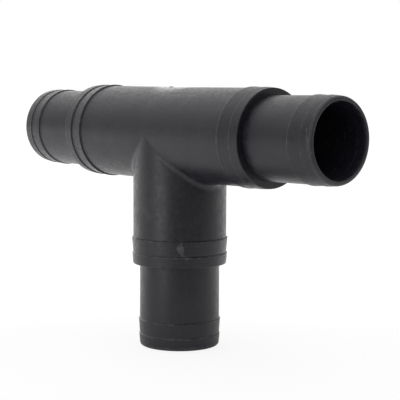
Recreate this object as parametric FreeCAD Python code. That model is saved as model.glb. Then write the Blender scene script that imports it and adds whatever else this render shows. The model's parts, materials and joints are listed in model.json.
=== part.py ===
"""Stepped barbed tee for 32 mm and 38 mm hose, in millimetres.

The fitting is one hollow moulding.  It is divided here at plain stretches of tube into a junction
and, on each of its three legs, an inner tail for 38 mm hose and an outer tail for 32 mm hose.
The sections meet face to face.  The origin is where the axes of the run and the branch cross:
the run lies along X and the branch points down, along -Z.
"""
import FreeCAD, Part
import os
from math import sin, tan

# Bore and walls
BORE_R = 14.4
TUBE_38_R = 19.0
TUBE_32_R = 16.25

# Distances from the crossing of the axes, along each leg
JUNCTION_END = 24.0
SHOULDER = 52.65
TAIL_32_START = 54.6
TIP = 86.5

# Barbs, as (station of the crest, radius of the crest), from the junction outwards.
# A steep step faces the junction, then comes a narrow land and a long taper towards the tip.
BARBS_38 = ((42.0, 19.5), (48.2, 19.35))
BARBS_32 = ((75.4, 16.65), (81.5, 16.5))
BARB_LEAN = 0.3
BARB_LAND = 0.4
BARB_ROUND = 0.12

# Where the last taper of each tail ends: the shoulder's edge and the nose
SHOULDER_R = 19.05
NOSE_R = 16.1

# Radii of the rounded corners
CROTCH_ROUND = 3.0
SHOULDER_ROUND = 0.4
NOSE_ROUND = 1.25
MOUTH_ROUND = 0.3

X_AXIS = FreeCAD.Vector(1, 0, 0)
Y_AXIS = FreeCAD.Vector(0, 1, 0)
Z_AXIS = FreeCAD.Vector(0, 0, 1)
ORIGIN = FreeCAD.Vector(0, 0, 0)


def barb_corners(barbs, tube_r):
    """Corners (station, radius, rounding) of a row of barbs, from the junction outwards."""
    corners = []
    for station, crest_r in barbs:
        corners.append((station - BARB_LEAN, tube_r, BARB_ROUND))
        corners.append((station, crest_r, BARB_ROUND))
        corners.append((station + BARB_LAND, crest_r, BARB_ROUND))
    return corners


def corner_arc(before, corner, after, rounding):
    """Start, middle and end of the tangent arc that rounds a corner; one point if it is sharp."""
    back = (before - corner).normalize()
    onward = (after - corner).normalize()
    half_angle = back.getAngle(onward) / 2
    reach = rounding / tan(half_angle)
    depth = rounding / sin(half_angle) - rounding
    middle = corner + (back + onward).normalize() * depth
    return corner + back * reach, middle, corner + onward * reach


def rounded_wire(corners):
    """Closed wire through (station, radius, rounding) corners, in the XZ plane."""
    points = [FreeCAD.Vector(station, 0, radius) for station, radius, _ in corners]
    following = points[1:] + points[:1]
    arcs = []
    for index, (_, _, rounding) in enumerate(corners):
        arcs.append(corner_arc(points[index - 1], points[index], following[index], rounding))
    curves = []
    for index, (start, middle, end) in enumerate(arcs):
        previous_end = arcs[index - 1][2]
        curves.append(Part.LineSegment(previous_end, start))
        if corners[index][2] > 0:
            curves.append(Part.Arc(start, middle, end))
    return Part.Wire([curve.toShape() for curve in curves])


def turned_about_leg(corners):
    """The solid of revolution of a closed section about the leg that points along +X."""
    section = Part.Face(rounded_wire(corners))
    return section.revolve(ORIGIN, X_AXIS, 360)


def tail_38():
    """Inner tail: two barbs for 38 mm hose, and the shoulder down to the smaller tube."""
    corners = [(JUNCTION_END, BORE_R, 0), (JUNCTION_END, TUBE_38_R, 0)]
    corners += barb_corners(BARBS_38, TUBE_38_R)
    corners += [(SHOULDER, SHOULDER_R, SHOULDER_ROUND), (SHOULDER, TUBE_32_R, 0)]
    corners += [(TAIL_32_START, TUBE_32_R, 0), (TAIL_32_START, BORE_R, 0)]
    return turned_about_leg(corners)


def tail_32():
    """Outer tail: two barbs for 32 mm hose, and the rounded nose at the mouth of the bore."""
    corners = [(TAIL_32_START, BORE_R, 0), (TAIL_32_START, TUBE_32_R, 0)]
    corners += barb_corners(BARBS_32, TUBE_32_R)
    corners += [(TIP, NOSE_R, NOSE_ROUND), (TIP, BORE_R, MOUTH_ROUND)]
    return turned_about_leg(corners)


def tee_of(radius):
    """A run and a branch of one radius, as long as the junction."""
    run = Part.makeCylinder(radius, 2 * JUNCTION_END, -JUNCTION_END * X_AXIS, X_AXIS)
    branch = Part.makeCylinder(radius, JUNCTION_END, ORIGIN, -Z_AXIS)
    return run.fuse(branch).removeSplitter()


def joined_to_mirror_image(shape, normal):
    """A shape joined to its mirror image in the plane through the origin with this normal."""
    return shape.fuse(shape.mirror(ORIGIN, normal))


def junction():
    """The hollow crossing.  Its crotch is rounded on one quarter, which is mirrored into the whole."""
    size = 2 * JUNCTION_END
    quarter = tee_of(TUBE_38_R).common(Part.makeBox(size, size, 2 * size, -size * Z_AXIS))
    crotch = [edge for edge in quarter.Edges if not isinstance(edge.Curve, (Part.Circle, Part.Line))]
    half = joined_to_mirror_image(quarter.makeFillet(CROTCH_ROUND, crotch), X_AXIS)
    return joined_to_mirror_image(half, Y_AXIS).removeSplitter().cut(tee_of(BORE_R))


def on_leg(shape, leg):
    """A copy of a shape of the +X leg, turned onto the named leg."""
    turned = shape.copy()
    if leg == "left":
        turned.rotate(ORIGIN, Z_AXIS, 180)
    if leg == "branch":
        turned.rotate(ORIGIN, Y_AXIS, 90)
    return turned


def sections():
    """Every section of the moulding by name."""
    solids = {"junction": junction()}
    for leg in ("left", "right", "branch"):
        solids[leg + "_tail_38"] = on_leg(tail_38(), leg)
        solids[leg + "_tail_32"] = on_leg(tail_32(), leg)
    return solids


os.makedirs("parts", exist_ok=True)
total = 0
for name, solid in sections().items():
    solid.exportStep("parts/" + name + ".step")
    total += solid.Volume
    print(f"{name}: valid {solid.isValid()}, {len(solid.Solids)} solid, {solid.Volume:.0f} mm3")
print(f"whole moulding: {total:.0f} mm3")
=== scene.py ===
"""Looks of the stepped barbed tee: one black polypropylene moulding on a plain pale floor.

Each section of the moulding gets a fine mesh with the rounded barbs, the rounded crotch, the mould's
parting line and fine rings, and the gate mark.  All sections share one material, laid out in the
object's own coordinates so that it runs across their seams.  Lengths are in millimetres until a mesh
is made; the studio's are in metres.
"""
import bmesh
import bpy
import json
import numpy as np
from math import cos, radians, sin
from mathutils import Matrix, Vector, noise


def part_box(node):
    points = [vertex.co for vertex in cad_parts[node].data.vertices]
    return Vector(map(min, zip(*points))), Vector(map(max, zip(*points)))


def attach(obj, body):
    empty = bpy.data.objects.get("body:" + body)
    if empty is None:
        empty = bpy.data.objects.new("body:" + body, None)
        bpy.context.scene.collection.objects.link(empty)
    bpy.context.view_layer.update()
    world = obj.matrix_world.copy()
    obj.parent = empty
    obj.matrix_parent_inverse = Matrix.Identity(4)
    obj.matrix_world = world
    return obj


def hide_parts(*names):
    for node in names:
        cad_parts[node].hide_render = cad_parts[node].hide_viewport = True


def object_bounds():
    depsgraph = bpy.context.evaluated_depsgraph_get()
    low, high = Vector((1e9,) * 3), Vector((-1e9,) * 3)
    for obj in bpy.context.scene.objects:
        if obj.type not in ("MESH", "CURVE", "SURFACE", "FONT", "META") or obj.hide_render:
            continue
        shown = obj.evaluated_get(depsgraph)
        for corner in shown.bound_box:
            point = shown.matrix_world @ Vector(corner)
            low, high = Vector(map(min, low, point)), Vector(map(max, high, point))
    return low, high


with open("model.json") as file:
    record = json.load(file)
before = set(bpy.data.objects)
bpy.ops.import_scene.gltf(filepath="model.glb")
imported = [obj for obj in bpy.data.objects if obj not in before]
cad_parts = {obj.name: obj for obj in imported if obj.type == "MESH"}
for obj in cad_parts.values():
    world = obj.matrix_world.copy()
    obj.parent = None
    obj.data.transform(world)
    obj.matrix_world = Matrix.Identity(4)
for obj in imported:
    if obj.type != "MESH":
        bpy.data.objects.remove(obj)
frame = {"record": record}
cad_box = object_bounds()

MM = 0.001

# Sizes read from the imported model
JUNCTION_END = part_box("junction")[1].x / MM
TUBE_38_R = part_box("junction")[1].y / MM
TAIL_32_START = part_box("right_tail_38")[1].x / MM
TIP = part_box("right_tail_32")[1].x / MM
MOUNTS = {mount["name"]: mount for mount in frame["record"]["mounts"]}
BORE_R = MOUNTS["run_bore"]["dims"]["r_mm"]
CREST_38_R = MOUNTS["right_hose_38"]["dims"]["r_mm"]
CREST_32_R = MOUNTS["right_hose_32"]["dims"]["r_mm"]

# The tails' outline; barbs are (station of the crest, radius of the crest), and the outer is lower
TUBE_32_R = 16.25
SHOULDER = 52.65
OUTER_BARB_DROP = 0.15
BARBS_38 = ((42.0, CREST_38_R), (48.2, CREST_38_R - OUTER_BARB_DROP))
BARBS_32 = ((75.4, CREST_32_R), (81.5, CREST_32_R - OUTER_BARB_DROP))
BARB_LEAN = 0.3
BARB_LAND = 0.4
BARB_ROUND = 0.12
SHOULDER_R = 19.05
SHOULDER_ROUND = 0.4
NOSE_R = 16.1
NOSE_ROUND = 1.25
MOUTH_ROUND = 0.3

# The junction
CROTCH_ROUND = 3.0
INNER_CROTCH_ROUND = 0.25

# Bow of the run: how far its tips rise, the drop of its middle, and where on the branch that ends
BOW_RISE = 0.657
BOW_DROP = 0.16
BOW_END = 40.0

# The parting line, which leaves out the highest crests so that they keep to the CAD model's box
PARTING_WIDTH = 0.3
PARTING_HEIGHT = 0.035
PARTING_MAX_R = CREST_38_R - 0.2

# The gate: a torn nub with sloping flanks, off the middle of a shallow sink
GATE_X = -5.6
GATE_R = 0.9
GATE_FLANK = 0.3
GATE_HEIGHT = 0.28
TEARS_PER_MM = 2.1
SINK_DEPTH = 0.12
SINK_LENGTH = 9.0
SINK_WIDTH = 6.0

# Fine rings that the turned mould left before each end of a tail
RINGS_38 = (49.8, 51.2)
RINGS_32 = (83.0, 84.3)
RING_HEIGHT = 0.03
RING_HALF_WIDTH = 0.16

# Mesh fineness; PARTING_STEPS are in half widths of the parting line, GATE_REACH in radii of the gate
ANGLE_STEPS = 48
PARTING_STEPS = (0.25, 0.5, 0.75, 1.0, 1.5, 2.0, 3.0, 4.5, 6.0)
ARC_STEP = radians(12)
SPAN_STEP = 2.0
SUPPORT = 0.05
BORE_STEPS = 17
RUN_STEPS = 20
GATE_STEPS = 16
GATE_REACH = 1.3
BRANCH_STEPS = 12
CROTCH_STEPS = 12
INNER_CROTCH_STEPS = 4
WELD = 1e-7
SHARP_ANGLE = radians(35)

# Each leg's direction, and the direction across it that lies in the parting plane
LEGS = {
    "left": (Vector((-1, 0, 0)), Vector((0, 0, 1))),
    "right": (Vector((1, 0, 0)), Vector((0, 0, 1))),
    "branch": (Vector((0, 0, -1)), Vector((1, 0, 0))),
}


# ---------------------------------------------------------------- meshes

def half_turn():
    """Angles from -90 to 90 degrees; 0 is the parting plane, where they are closest."""
    even = np.linspace(0, np.pi / 2, ANGLE_STEPS + 1)
    close = np.array(PARTING_STEPS) * PARTING_WIDTH / 2 / TUBE_38_R
    one_side = np.unique(np.concatenate([even[even > close[-1] * 1.2], close]))
    return np.concatenate([-one_side[::-1], [0], one_side])


HALF = half_turn()


def parting_ridge(angle):
    """Height of the parting line's ridge at an angle from the parting plane."""
    across = abs(angle) * TUBE_38_R / (PARTING_WIDTH / 2)
    return PARTING_HEIGHT * cos(across * np.pi / 2) ** 2 if across < 1 else 0.0


def rounded_outline(corners):
    """Points of an open outline through (station, radius, rounding) corners, with tangent arcs."""
    points = [np.array(corner[:2], float) for corner in corners]
    outline = [points[0]]
    for index in range(1, len(points) - 1):
        corner, rounding = points[index], corners[index][2]
        if rounding == 0:
            outline.append(corner)
            continue
        back = points[index - 1] - corner
        onward = points[index + 1] - corner
        back /= np.linalg.norm(back)
        onward /= np.linalg.norm(onward)
        half = np.arccos(np.clip(back @ onward, -1, 1)) / 2
        centre = corner + (back + onward) / np.linalg.norm(back + onward) * rounding / sin(half)
        start = corner + back * rounding / np.tan(half) - centre
        end = corner + onward * rounding / np.tan(half) - centre
        steps = max(3, int(np.ceil((np.pi - 2 * half) / ARC_STEP)))
        for step in range(steps + 1):
            share = step / steps
            spoke = slerp(start / rounding, end / rounding, share)
            outline.append(centre + spoke * rounding)
    outline.append(points[-1])
    return outline


def slerp(first, last, share):
    """Unit vector a share of the way round from one unit vector to another."""
    turn = np.arccos(np.clip(first @ last, -1, 1))
    if turn < 1e-9:
        return first
    return (first * sin((1 - share) * turn) + last * sin(share * turn)) / sin(turn)


def divided(outline):
    """The outline with its long straight spans divided, and a point close to each of their ends."""
    points = [outline[0]]
    for start, end in zip(outline, outline[1:]):
        length = np.linalg.norm(end - start)
        if length > 4 * SUPPORT:
            count = max(1, round((length - 2 * SUPPORT) / SPAN_STEP))
            shares = np.linspace(SUPPORT / length, 1 - SUPPORT / length, count + 1)
            points += [start + (end - start) * share for share in shares]
        points.append(end)
    return points


def barb_corners(barbs, tube_r):
    """Corners of a row of barbs: a steep step, a narrow land, then the taper towards the tip."""
    corners = []
    for station, crest_r in barbs:
        corners.append((station - BARB_LEAN, tube_r, BARB_ROUND))
        corners.append((station, crest_r, BARB_ROUND))
        corners.append((station + BARB_LAND, crest_r, BARB_ROUND))
    return corners


def ring_corners(rings, start, end):
    """Corners of fine raised rings on a straight taper between two (station, radius) ends."""
    corners = []
    for ring in rings:
        for offset, height in ((-RING_HALF_WIDTH, 0), (0, RING_HEIGHT), (RING_HALF_WIDTH, 0)):
            radius = np.interp(ring + offset, (start[0], end[0]), (start[1], end[1])) + height
            corners.append((ring + offset, radius, 0))
    return corners


def tail_38_outline():
    """Outside of an inner tail, from the junction to just past the shoulder."""
    corners = [(JUNCTION_END, TUBE_38_R, 0)]
    corners += barb_corners(BARBS_38, TUBE_38_R)
    last_crest, last_r = BARBS_38[-1]
    corners += ring_corners(RINGS_38, (last_crest + BARB_LAND, last_r), (SHOULDER, SHOULDER_R))
    corners += [(SHOULDER, SHOULDER_R, SHOULDER_ROUND), (SHOULDER, TUBE_32_R, 0)]
    corners.append((TAIL_32_START, TUBE_32_R, 0))
    return divided(rounded_outline(corners))


def tail_32_outline():
    """Outside of an outer tail, from the seam past the shoulder round the nose to the bore."""
    corners = [(TAIL_32_START, TUBE_32_R, 0)]
    corners += barb_corners(BARBS_32, TUBE_32_R)
    last_crest, last_r = BARBS_32[-1]
    corners += ring_corners(RINGS_32, (last_crest + BARB_LAND, last_r), (TIP, NOSE_R))
    corners += [(TIP, NOSE_R, NOSE_ROUND), (TIP, BORE_R, MOUTH_ROUND)]
    corners.append((TIP - 2 * MOUTH_ROUND, BORE_R, 0))
    return divided(rounded_outline(corners))


def bowed(point):
    """A point of the straight moulding, moved by the slight bow that the run took as it cooled."""
    lift = BOW_RISE * (point[0] / TIP) ** 2 - BOW_DROP
    share = np.clip((BOW_END + point[2]) / (BOW_END - JUNCTION_END), 0, 1)
    return Vector((point[0], point[1], point[2] + lift * share * share * (3 - 2 * share)))


def new_piece(name, points, quads, stations, inside):
    """A smooth-shaded mesh object of millimetre points, with outward normals and sharp edges.

    Each point's station along its leg, and whether it is inside the bore, go with it for the material.
    """
    mesh = bmesh.new()
    station_layer = mesh.verts.layers.float.new("station")
    inside_layer = mesh.verts.layers.float.new("inside")
    verts = [mesh.verts.new(bowed(point) * MM) for point in points]
    for vert, station, is_inside in zip(verts, stations, inside):
        vert[station_layer] = station
        vert[inside_layer] = is_inside
    for quad in quads:
        mesh.faces.new([verts[index] for index in quad])
    bmesh.ops.remove_doubles(mesh, verts=mesh.verts[:], dist=WELD)
    bmesh.ops.dissolve_degenerate(mesh, edges=mesh.edges[:], dist=WELD)
    bmesh.ops.recalc_face_normals(mesh, faces=mesh.faces[:])
    for face in mesh.faces:
        face.smooth = True
    for edge in mesh.edges:
        edge.smooth = edge.is_manifold and edge.calc_face_angle() < SHARP_ANGLE
    data = bpy.data.meshes.new(name)
    mesh.to_mesh(data)
    mesh.free()
    piece = bpy.data.objects.new(name, data)
    bpy.context.scene.collection.objects.link(piece)
    return piece


def tail(name, leg, outline, start):
    """A tail of one leg: its outline turned about the leg, closed by the bore and the seam face."""
    along, across = LEGS[leg]
    sideways = Vector((0, 1, 0))
    mouth = outline[-1][0]
    bore = [np.array([station, BORE_R]) for station in np.linspace(mouth, start, BORE_STEPS + 1)[1:]]
    loop = outline + bore
    spokes = [(angle, 1) for angle in HALF] + [(angle, -1) for angle in HALF[-2:0:-1]]
    points, stations, inside = [], [], []
    for index, (station, radius) in enumerate(loop):
        on_skin = index < len(outline) and BORE_R + MOUTH_ROUND < radius < PARTING_MAX_R
        for angle, side in spokes:
            ridge = parting_ridge(angle) if on_skin else 0
            spoke = sideways * sin(angle) + across * cos(angle) * side
            points.append(along * station + spoke * (radius + ridge))
            stations.append(station)
            inside.append(radius <= BORE_R)
    return new_piece(name, points, ring_quads(len(loop), len(spokes)), stations, inside)


def ring_quads(rings, spokes):
    """Quads of a closed tube of rings that also closes on itself from the last ring to the first."""
    quads = []
    for ring in range(rings):
        following = (ring + 1) % rings
        for spoke in range(spokes):
            beside = (spoke + 1) % spokes
            quads.append((ring * spokes + spoke, ring * spokes + beside,
                          following * spokes + beside, following * spokes + spoke))
    return quads


def run_shares():
    """Shares of the way from a leg's seam to the crossing, closest around the gate mark."""
    even = np.linspace(0, 1, RUN_STEPS + 1)
    across_gate = np.linspace(-GATE_REACH, GATE_REACH, GATE_STEPS + 1) * GATE_R
    near_gate = 1 - (abs(GATE_X) + across_gate) / JUNCTION_END
    away = [share for share in even if not near_gate.min() < share < near_gate.max()]
    return np.unique(np.concatenate([away, near_gate]))


def lower_row(angle, side, radius, rounding, shares, arc_steps):
    """A row of (point, outward normal) from one arm's seam, round the crotch and down the branch."""
    contact = (radius + rounding) * cos(angle)
    run_normal = np.array([0, sin(angle), -cos(angle)])
    branch_normal = np.array([side * cos(angle), sin(angle), 0])
    run_start = np.array([side * JUNCTION_END, radius * sin(angle), -radius * cos(angle)])
    run_end = np.array([side * contact, radius * sin(angle), -radius * cos(angle)])
    branch_start = np.array([side * radius * cos(angle), radius * sin(angle), -contact])
    branch_end = np.array([side * radius * cos(angle), radius * sin(angle), -JUNCTION_END])
    ball = np.array([side * contact, (radius + rounding) * sin(angle), -contact])
    row = [(run_start + (run_end - run_start) * share, run_normal) for share in shares]
    for step in range(1, arc_steps):
        normal = slerp(run_normal, branch_normal, step / arc_steps)
        row.append((ball - normal * rounding, normal))
    row += [(branch_start + (branch_end - branch_start) * share, branch_normal)
            for share in np.linspace(0, 1, BRANCH_STEPS + 1)]
    return row


def upper_row(angle, radius, shares):
    """A row of (point, outward normal) along the top of the run, from seam to seam."""
    stations = np.concatenate([(shares - 1) * JUNCTION_END, (1 - shares[-2::-1]) * JUNCTION_END])
    normal = np.array([0, sin(angle), cos(angle)])
    return [(np.array([station, 0, 0]) + normal * radius, normal) for station in stations]


def tee_skin(radius, rounding, arc_steps):
    """Grids of (point, normal) rows for the surface of a tee: two lower sides and the top."""
    shares = run_shares()
    grids = {}
    for part, side in (("left", -1), ("right", 1)):
        grids[part] = [lower_row(angle, side, radius, rounding, shares, arc_steps) for angle in HALF]
    grids["top"] = [upper_row(angle, radius, shares) for angle in HALF]
    return grids


def gate_height(x, y):
    """Height of the skin above the plain tube near the gate: a torn nub in a shallow sink."""
    sink = -SINK_DEPTH * np.exp(-(x / SINK_LENGTH) ** 2 - (y / SINK_WIDTH) ** 2)
    reach = np.hypot(x - GATE_X, y) / GATE_R
    nub = GATE_HEIGHT * np.clip((1 - reach) / GATE_FLANK + 0.5, 0, 1)
    torn = 0.75 + 0.5 * noise.noise(Vector((x, y, 0)) * TEARS_PER_MM)
    return sink + nub * torn


def skin_height(point, normal, angle):
    """How far the moulded skin stands off the plain tee at a point: parting line and gate."""
    height = parting_ridge(angle)
    on_top = normal[2] > 0.5
    if on_top:
        height += gate_height(point[0], point[1])
    return height


def junction_piece():
    """The hollow crossing of the run and the branch."""
    points, quads, inside = [], [], []
    edges = {}
    skins = (("outer", TUBE_38_R, CROTCH_ROUND, CROTCH_STEPS),
             ("inner", BORE_R, INNER_CROTCH_ROUND, INNER_CROTCH_STEPS))
    for skin, radius, rounding, arc_steps in skins:
        for part, grid in tee_skin(radius, rounding, arc_steps).items():
            width = len(grid[0])
            base = len(points)
            for angle, row in zip(HALF, grid):
                for point, normal in row:
                    height = skin_height(point, normal, angle) if skin == "outer" else 0
                    points.append(point + normal * height)
                    inside.append(skin == "inner")
            for line in range(len(grid) - 1):
                for column in range(width - 1):
                    corner = base + line * width + column
                    quads.append((corner, corner + 1, corner + width + 1, corner + width))
            first = [base + line * width for line in range(len(grid))]
            last = [index + width - 1 for index in first]
            edges[skin, part] = (first, last)
    for part in ("left", "right", "top"):
        for outer, inner in zip(edges["outer", part], edges["inner", part]):
            quads += [(outer[i], outer[i + 1], inner[i + 1], inner[i]) for i in range(len(outer) - 1)]
    return new_piece("junction_skin", points, quads, [0] * len(points), inside)


def make_pieces():
    """Every section's fine mesh, by the CAD node that it stands for."""
    pieces = {"junction": junction_piece()}
    for leg in LEGS:
        pieces[leg + "_tail_38"] = tail(leg + "_tail_38_skin", leg, tail_38_outline(), JUNCTION_END)
        pieces[leg + "_tail_32"] = tail(leg + "_tail_32_skin", leg, tail_32_outline(), TAIL_32_START)
    return pieces


# ---------------------------------------------------------------- materials

# Sizes in the material are in millimetres; the nodes turn the object's metres into them
GRAIN_SIZE = 0.45
MOTTLE_SIZE = 1.6
WAVE_SIZE = 14.0
DRAG_SIZE = 0.9
DRAG_STRETCH = 0.03
DRAG_TURN = 3.0
EDGE_BREAK_SIZE = 2.2
RUB_SIZE = 0.9
SPECK_SPACING = 5.0
TURNED_PER_MM = 1.1
HALO_REACH = (5, 12)

# Worn lines that are also painted highlights, on the crests, the nose and the mouth's rim
CREST_STATIONS = [station + BARB_LAND / 2 for station, _ in BARBS_38 + BARBS_32]
EDGE_STATIONS = CREST_STATIONS + [TIP - NOSE_ROUND]
EDGE_WIDTH = 0.38
RIM_WIDTH = 0.9

# Where the turned rings are, along the legs
TURNED_ZONES = ((BARBS_38[0][0], SHOULDER), (BARBS_32[0][0], TIP))
ZONE_FADE = 0.5

# Rubbed scuffs, as (width, strength, route over the skin)
SCUFFS = (
    (1.6, 0.7, ((14.8, -12.5, -42.6), (14.5, -12.8, -45.0), (14.9, -12.1, -46.5), (15.2, -11.6, -47.7),
                 (16.3, -10.5, -48.6))),
    (3.0, 1.0, ((14.3, -12.9, -44.4), (14.6, -12.6, -45.4))),
    (2.2, 0.9, ((15.0, -12.1, -44.3), (15.0, -12.1, -46.4))),
    (1.8, 0.7, ((15.7, -11.2, -47.9), (16.4, -10.3, -48.5))),
    (0.8, 0.8, ((84.2, -15.6, 5.2), (84.9, -16.1, 1.5), (84.9, -16.0, -2.0))),
    (0.7, 1.0, ((86.2, -15.3, -2.9), (86.3, -15.2, -3.2))),
    (4.5, 0.2, ((0.6, -18.9, -29.8), (2.9, -18.8, -32.6))),
)

BLACK = (0.0085, 0.0083, 0.0132)
# Pale grey of the scuffs, specks and worn edges; on the edges and the rim it is also a painted highlight
GREY_WEAR_AND_HIGHLIGHT = (0.075, 0.075, 0.08, 1)

# The roughness and the share of BLACK before grain, mottle and the rest are added
ROUGHNESS = 0.17
DARKEST = -0.45


def add_node(tree, kind, inputs, **settings):
    """A new node with its settings made, and its inputs set to values or linked to other outputs."""
    made = tree.nodes.new("ShaderNode" + kind)
    for setting, value in settings.items():
        setattr(made, setting, value)
    for key, value in inputs.items():
        if isinstance(value, bpy.types.NodeSocket):
            tree.links.new(value, made.inputs[key])
        else:
            made.inputs[key].default_value = value
    return made


def calculate(tree, operation, *terms):
    """The output of a math node for these terms, which are numbers or other outputs."""
    return add_node(tree, "Math", dict(enumerate(terms)), operation=operation).outputs[0]


def weighed_sum(tree, *terms):
    """The sum of (value, weight) terms."""
    total = 0.0
    for value, weight in terms:
        total = calculate(tree, "MULTIPLY_ADD", value, weight, total)
    return total


def remapped(tree, value, start, end, low, high):
    """A value carried from one range to another, smoothly and held at its ends."""
    inputs = {"Value": value, "From Min": start, "From Max": end, "To Min": low, "To Max": high}
    return add_node(tree, "MapRange", inputs, interpolation_type="SMOOTHSTEP").outputs["Result"]


def cloud(tree, place, size, detail):
    """Noise about 0.5 whose patches are about this many millimetres across."""
    inputs = {"Vector": place, "Scale": 1 / size, "Detail": detail}
    return add_node(tree, "TexNoise", inputs).outputs["Fac"]


def stretched(tree, place, factors):
    """The coordinates scaled by a factor on each axis, so that noise on them is drawn out."""
    return add_node(tree, "VectorMath", {0: place, 1: factors}, operation="MULTIPLY").outputs[0]


def near_lines(tree, station, lines, width):
    """1 on the rings at these stations, falling to 0 at this distance from them."""
    nearest = width
    for line in lines:
        gap = calculate(tree, "ABSOLUTE", calculate(tree, "SUBTRACT", station, line))
        nearest = calculate(tree, "MINIMUM", gap, nearest)
    return remapped(tree, nearest, 0, width, 1, 0)


def within_zones(tree, station, zones):
    """1 inside these zones of the legs, falling to 0 towards their ends."""
    total = 0.0
    for start, end in zones:
        off_middle = calculate(tree, "ABSOLUTE", calculate(tree, "SUBTRACT", station, (start + end) / 2))
        zone = remapped(tree, off_middle, (end - start) / 2 - ZONE_FADE, (end - start) / 2, 1, 0)
        total = calculate(tree, "ADD", zone, total)
    return total


def smear(tree, place, route, width):
    """1 close to a route of points on the skin, falling to 0 at half a width from it."""
    nearest = width
    for start, end in zip(route, route[1:]):
        along = Vector(end) - Vector(start)
        offset = add_node(tree, "VectorMath", {0: place, 1: start}, operation="SUBTRACT").outputs[0]
        reach = add_node(tree, "VectorMath", {0: offset, 1: along / along.length_squared},
                         operation="DOT_PRODUCT").outputs["Value"]
        share = add_node(tree, "Clamp", {"Value": reach}).outputs[0]
        foot = add_node(tree, "VectorMath", {0: along, "Scale": share}, operation="SCALE").outputs[0]
        gap = add_node(tree, "VectorMath", {0: offset, 1: foot}, operation="DISTANCE").outputs["Value"]
        nearest = calculate(tree, "MINIMUM", gap, nearest)
    return remapped(tree, nearest, width * 0.15, width / 2, 1, 0)


def scuffed(tree, place):
    """The strongest of the scuffs at each place."""
    strongest = 0.0
    for width, strength, route in SCUFFS:
        scuff = calculate(tree, "MULTIPLY", smear(tree, place, route, width), strength)
        strongest = calculate(tree, "MAXIMUM", scuff, strongest)
    return strongest


def speckled(tree, place):
    """Small pale specks at some of the points of a scatter."""
    spots = add_node(tree, "TexVoronoi", {"Vector": place, "Scale": 1 / SPECK_SPACING})
    chosen = remapped(tree, spots.outputs["Color"], 0.55, 0.6, 0, 1)
    speck = remapped(tree, spots.outputs["Distance"], 0.01, 0.04, 0.7, 0)
    return calculate(tree, "MULTIPLY", speck, chosen)


def wear_and_painted_highlights(tree, place, station):
    """How worn the skin is, with painted highlights: broken lines on the edges and a pale rim, both wear
    and painted highlight, the scuffs and sparse specks.
    """
    # Lines on the crests, the nose and the shoulder's edge: worn, and also painted highlights
    crests = near_lines(tree, station, EDGE_STATIONS, EDGE_WIDTH)
    shoulder_edge = near_lines(tree, station, [SHOULDER - SHOULDER_ROUND / 2], SHOULDER_ROUND / 4)
    unbroken = calculate(tree, "MAXIMUM", crests, shoulder_edge)
    breaks = remapped(tree, cloud(tree, place, EDGE_BREAK_SIZE, 4), 0.42, 0.68, 0, 1)
    edges = calculate(tree, "MULTIPLY", unbroken, breaks)
    rubbed = calculate(tree, "MULTIPLY", scuffed(tree, place),
                       remapped(tree, cloud(tree, place, RUB_SIZE, 4), 0.3, 0.6, 0.4, 1))
    specks = speckled(tree, place)
    # The mouth's rim made paler: a painted highlight, with wear
    rim = near_lines(tree, station, [TIP - RIM_WIDTH / 2], RIM_WIDTH)
    return weighed_sum(tree, (edges, 0.75), (rubbed, 0.85), (specks, 0.5), (rim, 0.5))


def drag_lines(tree, place):
    """Fine lengthwise lines: along X on the run, and along Z below the crotch."""
    along_run = cloud(tree, stretched(tree, place, (DRAG_STRETCH, 1, 1)), DRAG_SIZE, 3)
    along_branch = cloud(tree, stretched(tree, place, (1, 1, DRAG_STRETCH)), DRAG_SIZE, 3)
    height = add_node(tree, "SeparateXYZ", {0: place}).outputs["Z"]
    on_branch = remapped(tree, height, -TUBE_38_R, -TUBE_38_R - DRAG_TURN, 0, 1)
    return add_node(tree, "Mix", {0: on_branch, 2: along_run, 3: along_branch}).outputs[0]


def turned_lines(tree, station):
    """Uneven rings round the tails' ends, as the turned mould left them."""
    inputs = {"W": station, "Scale": TURNED_PER_MM, "Detail": 2.0}
    rings = add_node(tree, "TexNoise", inputs, noise_dimensions="1D").outputs["Fac"]
    return calculate(tree, "MULTIPLY", rings, within_zones(tree, station, TURNED_ZONES))


def gate_halo(tree, place):
    """1 over the sink round the gate, where the melt set last and the skin is smoother, fading out."""
    spot = add_node(tree, "VectorMath", {0: place, 1: (GATE_X / 2, 0, TUBE_38_R)}, operation="DISTANCE")
    return remapped(tree, spot.outputs["Value"], *HALO_REACH, 1, 0)


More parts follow.
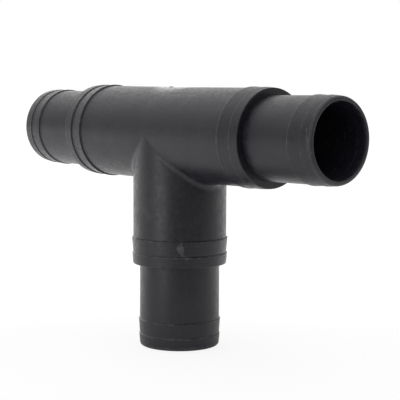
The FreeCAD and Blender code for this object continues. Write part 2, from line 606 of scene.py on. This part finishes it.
def moulding_material():
    """Black polypropylene: fine satin grain, faint turned and drag lines, scuffs, worn edges that are
    also painted highlights, and a bore coloured lighter as painted light.
    """
    material = bpy.data.materials.new("black_polypropylene")
    material.use_nodes = True
    tree = material.node_tree
    shader = tree.nodes["Principled BSDF"]
    shader.inputs["IOR"].default_value = 1.5
    metres = add_node(tree, "TexCoord", {}).outputs["Object"]
    place = add_node(tree, "VectorMath", {0: metres, "Scale": 1 / MM}, operation="SCALE").outputs[0]
    station = add_node(tree, "Attribute", {}, attribute_name="station").outputs["Fac"]
    inside = add_node(tree, "Attribute", {}, attribute_name="inside").outputs["Fac"]

    grain = cloud(tree, place, GRAIN_SIZE, 3)
    mottle = cloud(tree, place, MOTTLE_SIZE, 3)
    waves = cloud(tree, place, WAVE_SIZE, 1)
    turned = turned_lines(tree, station)
    drag = drag_lines(tree, place)
    wear_and_highlight = wear_and_painted_highlights(tree, place, station)
    halo = gate_halo(tree, place)

    height = weighed_sum(tree, (grain, 0.035), (mottle, 0.05), (waves, 0.3), (turned, 0.08),
                         (drag, 0.01), (wear_and_highlight, 0.01))
    bump = add_node(tree, "Bump", {"Strength": 1.0, "Distance": MM, "Height": height})
    tree.links.new(bump.outputs["Normal"], shader.inputs["Normal"])

    roughness = weighed_sum(tree, (ROUGHNESS, 1.0), (mottle, 0.4), (drag, 0.06), (waves, 0.04),
                            (wear_and_highlight, 0.15), (halo, -0.14))
    tree.links.new(roughness, shader.inputs["Roughness"])

    # The bore's colour is made lighter than the outside's: painted light in the bore
    shade = weighed_sum(tree, (DARKEST, 1.0), (mottle, 2.0), (grain, 0.6), (waves, 0.3), (inside, 0.6))
    black = add_node(tree, "VectorMath", {0: BLACK, "Scale": shade}, operation="SCALE").outputs[0]
    # Mixing towards grey: the scuffs and specks as wear, and the edges and rim as wear and painted
    # highlight
    colour = add_node(tree, "Mix", {0: wear_and_highlight, 6: black, 7: GREY_WEAR_AND_HIGHLIGHT}, data_type="RGBA").outputs[2]
    tree.links.new(colour, shader.inputs["Base Color"])
    return material


# ---------------------------------------------------------------- studio

# Floor, in metres: half its width, how far it comes in front of the object, its gap under the rim,
# and how far behind its near edge the dim glow (FLOOR_GLOW) starts and ends its rise to BACK_GLOW
FLOOR_HALF = 3.0
FLOOR_FRONT = 0.13
FLOOR_GAP = 0.00005
FLOOR_FADE = (0.12, 0.36)
FLOOR_GLOW = 0.1
BACK_GLOW = 0.8
FLOOR_WHITENESS = 0.85

# Light: the tent's even glow, and (strength, azimuth, elevation, focus) of each soft light;
# azimuth is anticlockwise from +X, and a larger focus is a smaller light
TENT_LIGHT = 0.167
SOFT_LIGHTS = (
    (4.48, 267.8, -11, 40.0),
    (2.48, 160.8, 3.3, 7.8),
    (1.26, -126, 81, 2.1),
)

# Camera: where it looks from and the point that it looks at
VIEW_AZIMUTH = 47.636
VIEW_ELEVATION = 5.569
VIEW_ROLL = 0.285
VIEW_DISTANCE = 0.51148
AIM = Vector((0.00745, 0.0043, -0.02676))
LENS = 113.42


def direction(azimuth, elevation):
    """Unit vector towards an azimuth and elevation in degrees."""
    level = cos(radians(elevation))
    turn = radians(azimuth)
    return Vector((level * cos(turn), level * sin(turn), sin(radians(elevation))))


def floor_material():
    """Plain pale floor with an even glow, as over a light table; seen directly it is nearly all glow."""
    material = bpy.data.materials.new("pale_floor")
    material.use_nodes = True
    tree = material.node_tree
    shader = tree.nodes["Principled BSDF"]
    shader.inputs["Base Color"].default_value = (0.9, 0.9, 0.9, 1)
    shader.inputs["Roughness"].default_value = 0.9
    shader.inputs["Emission Color"].default_value = (1, 1, 1, 1)
    shares = add_node(tree, "TexCoord", {}).outputs["Generated"]
    depth = add_node(tree, "SeparateXYZ", {0: shares}).outputs["Y"]
    near, far = (reach / (2 * FLOOR_HALF) for reach in FLOOR_FADE)
    strength = remapped(tree, depth, near, far, FLOOR_GLOW, BACK_GLOW)
    tree.links.new(strength, shader.inputs["Emission Strength"])
    glow = add_node(tree, "Emission", {"Strength": 1.0}).outputs[0]
    seen = add_node(tree, "LightPath", {}).outputs["Is Camera Ray"]
    share = calculate(tree, "MULTIPLY", seen, FLOOR_WHITENESS)
    mixed = add_node(tree, "MixShader", {0: share, 1: shader.outputs[0], 2: glow}).outputs[0]
    tree.links.new(mixed, tree.nodes["Material Output"].inputs["Surface"])
    return material


def make_floor():
    """A wide floor under the branch's rim, whose near edge lies just in front of the object."""
    turn = radians(VIEW_AZIMUTH)
    ahead = FLOOR_HALF - FLOOR_FRONT
    place = (-sin(turn) * ahead, cos(turn) * ahead, cad_box[0][2] - FLOOR_GAP)
    bpy.ops.mesh.primitive_plane_add(size=2 * FLOOR_HALF, location=place, rotation=(0, 0, turn))
    floor = bpy.context.object
    floor.name = "floor"
    floor.data.materials.append(floor_material())


def make_camera():
    """The camera, turned from looking along +Y by the azimuth, elevation and roll."""
    camera = bpy.data.objects.new("camera", bpy.data.cameras.new("camera"))
    bpy.context.scene.collection.objects.link(camera)
    turn = Matrix.Rotation(radians(VIEW_AZIMUTH), 4, "Z")
    tilt = Matrix.Rotation(radians(90 - VIEW_ELEVATION), 4, "X")
    roll = Matrix.Rotation(radians(VIEW_ROLL), 4, "Z")
    pose = turn @ tilt @ roll
    camera.matrix_world = Matrix.Translation(AIM + pose.to_3x3() @ Vector((0, 0, VIEW_DISTANCE))) @ pose
    camera.data.lens = LENS
    camera.data.clip_start = 0.01
    bpy.context.scene.camera = camera


def make_world():
    """A tent with an even glow and broad soft lights; the camera sees plain white instead."""
    world = bpy.data.worlds.new("studio")
    world.use_nodes = True
    tree = world.node_tree
    place = add_node(tree, "TexCoord", {}).outputs["Generated"]
    total = TENT_LIGHT
    for strength, azimuth, elevation, focus in SOFT_LIGHTS:
        towards = add_node(tree, "VectorMath", {0: place, 1: direction(azimuth, elevation)},
                           operation="DOT_PRODUCT").outputs["Value"]
        falloff = calculate(tree, "MULTIPLY_ADD", towards, focus, -focus)
        lobe = calculate(tree, "EXPONENT", falloff)
        total = calculate(tree, "MULTIPLY_ADD", lobe, strength, total)
    tent = tree.nodes["Background"]
    tent.inputs["Color"].default_value = (1, 1, 1, 1)
    tree.links.new(total, tent.inputs["Strength"])
    backdrop = add_node(tree, "Background", {"Color": (1, 1, 1, 1)}).outputs[0]
    seen = add_node(tree, "LightPath", {}).outputs["Is Camera Ray"]
    mixed = add_node(tree, "MixShader", {0: seen, 1: tent.outputs[0], 2: backdrop}).outputs[0]
    tree.links.new(mixed, tree.nodes["World Output"].inputs["Surface"])
    bpy.context.scene.world = world


# ---------------------------------------------------------------- scene

make_camera()
moulding = moulding_material()
for node, piece in make_pieces().items():
    piece.data.materials.append(moulding)
    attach(piece, "root")
    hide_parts(node)
make_floor()
make_world()
bpy.context.scene.view_settings.view_transform = "Standard"
